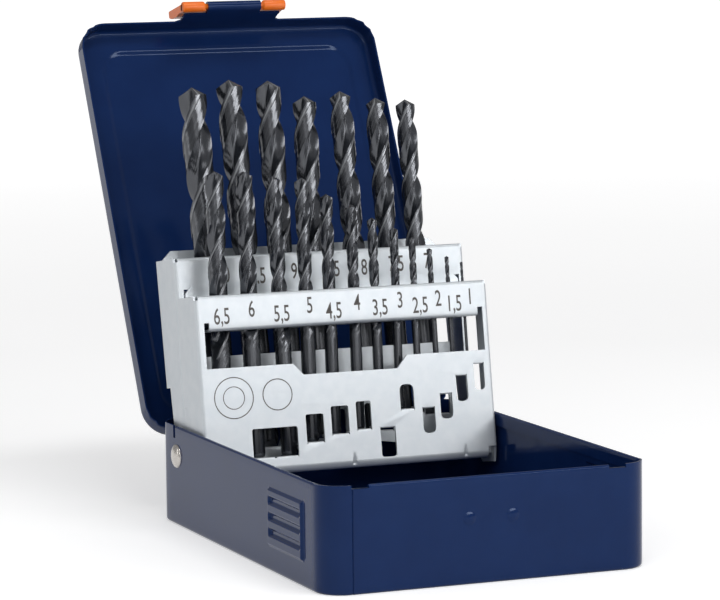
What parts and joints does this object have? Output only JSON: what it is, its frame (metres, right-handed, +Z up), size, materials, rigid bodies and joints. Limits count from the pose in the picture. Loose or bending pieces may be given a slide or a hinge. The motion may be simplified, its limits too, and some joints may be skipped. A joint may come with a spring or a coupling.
{
  "type": "drill index case",
  "caption": "Hinged steel index case for twist drills: shallow tray, leaning lid with snap latch, and a fold-up windowed rack full of drills.",
  "frame": {"origin": "centre of the tray's underside", "axes": "+X to the right, +Y to the hinge at the rear, +Z up"},
  "size_m": [0.113, 0.2357, 0.1716],
  "materials": {
    "navy_paint": "satin stoved enamel",
    "zinc_plate": "bright zinc plated sheet",
    "drill_steel": "black oxide with worn bright edges",
    "orange_plastic": "moulded, semi gloss",
    "bright_wire": "drawn steel wire",
    "nickel_rivet": "nickel plated"
  },
  "bodies": {
    "tray": {"base_tray": "navy_paint", "hinge_pin": "bright_wire", "pivot_rivet_left": "nickel_rivet", "pivot_rivet_right": "nickel_rivet", "pivot_washer_left": "zinc_plate", "pivot_washer_right": "zinc_plate"},
    "lid": {"lid_shell": "navy_paint"},
    "latch": {"latch": "orange_plastic"},
    "rack": {"rack_front": "zinc_plate", "rack_rear": "zinc_plate", "drill_6_5": "drill_steel", "drill_6": "drill_steel", "drill_5_5": "drill_steel", "drill_5": "drill_steel", "drill_4_5": "drill_steel", "drill_4": "drill_steel", "drill_3_5": "drill_steel", "drill_3": "drill_steel", "drill_2_5": "drill_steel", "drill_2": "drill_steel", "drill_1_5": "drill_steel", "drill_1": "drill_steel", "drill_10": "drill_steel", "drill_9_5": "drill_steel", "drill_9": "drill_steel", "drill_8_5": "drill_steel", "drill_8": "drill_steel", "drill_7_5": "drill_steel", "drill_7": "drill_steel"}
  },
  "joints": [
    {"name": "lid_hinge", "type": "hinge", "parent": "tray", "child": "lid", "pos_m": [0, 0.07775, 0.0291], "axis": [1, 0, 0], "range_deg": [0, 117.5]},
    {"name": "rack_pivot", "type": "hinge", "parent": "tray", "child": "rack", "pos_m": [0, 0.057, 0.0236], "axis": [1, 0, 0], "range_deg": [0, 98.93]},
    {"name": "latch_pivot", "type": "hinge", "parent": "lid", "child": "latch", "pos_m": [0, 0.14485, 0.1697], "axis": [1, 0, 0], "range_deg": [0, 165]}
  ],
  "couplings": [
    {"joint": "rack_pivot", "follows": "lid_hinge", "ratio": 0.84196}
  ]
}
